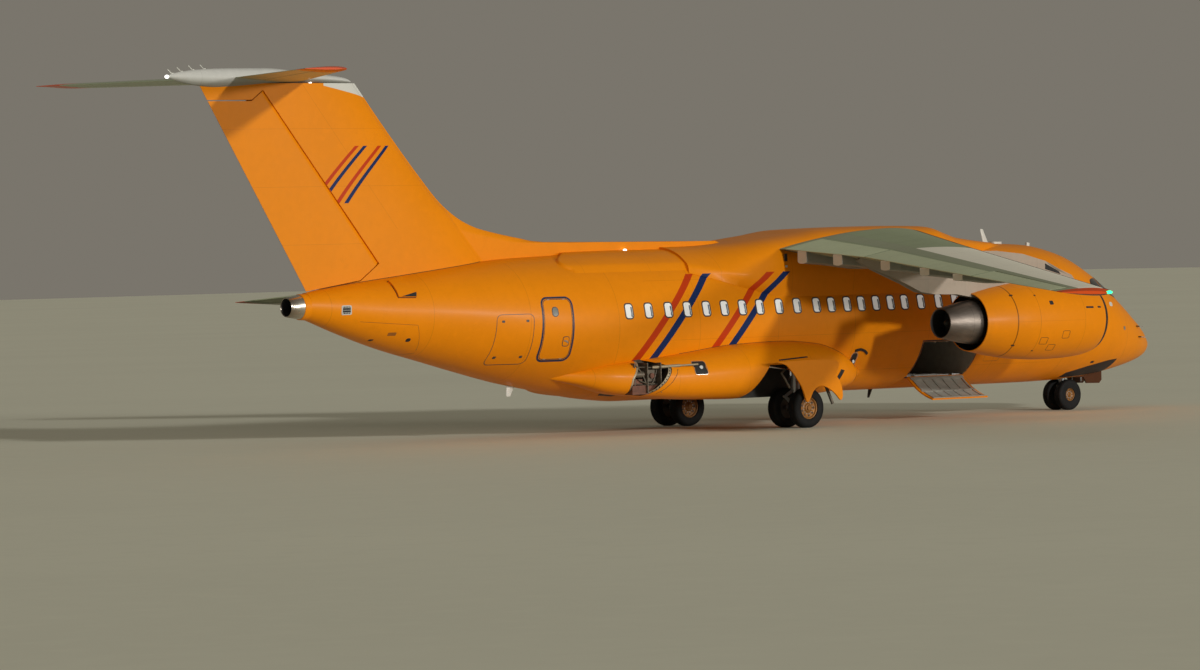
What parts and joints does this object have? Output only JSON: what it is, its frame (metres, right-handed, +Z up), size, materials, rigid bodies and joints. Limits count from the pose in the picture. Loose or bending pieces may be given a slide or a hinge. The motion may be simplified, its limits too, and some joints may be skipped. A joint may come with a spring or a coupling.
{
  "type": "regional jet",
  "caption": "High-wing regional jet airliner with a T-tail and under-wing turbofans, standing on its gear with its side hold door open.",
  "frame": {"origin": "on the ground below the middle of the aircraft's length and span", "axes": "+X towards the nose, +Y to port, +Z up"},
  "size_m": [29.13, 28.91, 8.19],
  "materials": {
    "orange_paint": "gloss",
    "grey_paint": "satin",
    "dark_metal": "heat-stained satin",
    "fan_metal": "satin",
    "gear_steel": "satin",
    "tyre_rubber": "matt"
  },
  "bodies": {
    "airframe": {"nose_section": "orange_paint", "forward_fuselage": "orange_paint", "centre_fuselage": "orange_paint", "rear_fuselage": "orange_paint", "tail_exhaust": "dark_metal", "wing_fairing": "orange_paint", "wing_L": "grey_paint", "inner_flap_L": "grey_paint", "outer_flap_L": "grey_paint", "pylon_L": "grey_paint", "cowl_L": "orange_paint", "engine_core_L": "dark_metal", "wing_R": "grey_paint", "inner_flap_R": "grey_paint", "outer_flap_R": "grey_paint", "pylon_R": "grey_paint", "cowl_R": "orange_paint", "engine_core_R": "dark_metal", "fin": "orange_paint", "tailplane": "grey_paint", "fin_top_fairing": "grey_paint", "gear_fairing_L": "orange_paint", "gear_fairing_R": "orange_paint", "main_leg_L": "gear_steel", "leg_door_L": "orange_paint", "main_leg_R": "gear_steel", "leg_door_R": "orange_paint", "nose_leg": "gear_steel", "nose_door_L": "orange_paint", "nose_door_R": "orange_paint"},
    "hold_door": {"hold_door": "orange_paint"},
    "aileron_L": {"aileron_L": "grey_paint"},
    "fan_L": {"fan_L": "fan_metal"},
    "aileron_R": {"aileron_R": "grey_paint"},
    "fan_R": {"fan_R": "fan_metal"},
    "rudder": {"rudder": "orange_paint"},
    "elevator_L": {"elevator_L": "grey_paint"},
    "elevator_R": {"elevator_R": "grey_paint"},
    "main_wheels_L": {"main_wheels_L": "tyre_rubber"},
    "main_wheels_R": {"main_wheels_R": "tyre_rubber"},
    "nose_fork": {"nose_fork": "gear_steel"},
    "nose_wheels": {"nose_wheels": "tyre_rubber"}
  },
  "joints": [
    {"name": "main_wheel_spin_L", "type": "hinge", "parent": "airframe", "child": "main_wheels_L", "pos_m": [1.18, 2.071, 0.451], "axis": [0, 1, 0], "continuous": true},
    {"name": "main_wheel_spin_R", "type": "hinge", "parent": "airframe", "child": "main_wheels_R", "pos_m": [1.18, -2.071, 0.451], "axis": [0, 1, 0], "continuous": true},
    {"name": "nose_steering", "type": "hinge", "parent": "airframe", "child": "nose_fork", "pos_m": [11.651, 0, 0.76], "axis": [0, 0, 1], "range_deg": [-60, 60]},
    {"name": "nose_wheel_spin", "type": "hinge", "parent": "nose_fork", "child": "nose_wheels", "pos_m": [11.651, 0, 0.37], "axis": [0, 1, 0], "continuous": true},
    {"name": "fan_spin_L", "type": "hinge", "parent": "airframe", "child": "fan_L", "pos_m": [7.385, 4.1, 2.29], "axis": [1, 0, 0], "continuous": true},
    {"name": "fan_spin_R", "type": "hinge", "parent": "airframe", "child": "fan_R", "pos_m": [7.385, -4.1, 2.29], "axis": [1, 0, 0], "continuous": true},
    {"name": "rudder_hinge", "type": "hinge", "parent": "airframe", "child": "rudder", "pos_m": [-9.285, 0, 3.91], "axis": [-0.6138, 0, 0.7895], "range_deg": [-25, 25]},
    {"name": "elevator_hinge_L", "type": "hinge", "parent": "airframe", "child": "elevator_L", "pos_m": [-12.36736, 0.42, 8], "axis": [-0.3797, 0.9251, 0], "range_deg": [-15, 25]},
    {"name": "elevator_hinge_R", "type": "hinge", "parent": "airframe", "child": "elevator_R", "pos_m": [-12.36736, -0.42, 8], "axis": [0.3797, 0.9251, 0], "range_deg": [-15, 25]},
    {"name": "aileron_hinge_L", "type": "hinge", "parent": "airframe", "child": "aileron_L", "pos_m": [-0.23893, 10.15, 3.38502], "axis": [-0.3817, 0.9213, -0.074], "range_deg": [-20, 20]},
    {"name": "aileron_hinge_R", "type": "hinge", "parent": "airframe", "child": "aileron_R", "pos_m": [-0.23893, -10.15, 3.38502], "axis": [0.3817, 0.9213, 0.074], "range_deg": [-20, 20]},
    {"name": "hold_door_hinge", "type": "hinge", "parent": "airframe", "child": "hold_door", "pos_m": [6.565, -0.92865, 1], "axis": [1, 0, 0], "range_deg": [-83, 0]}
  ]
}
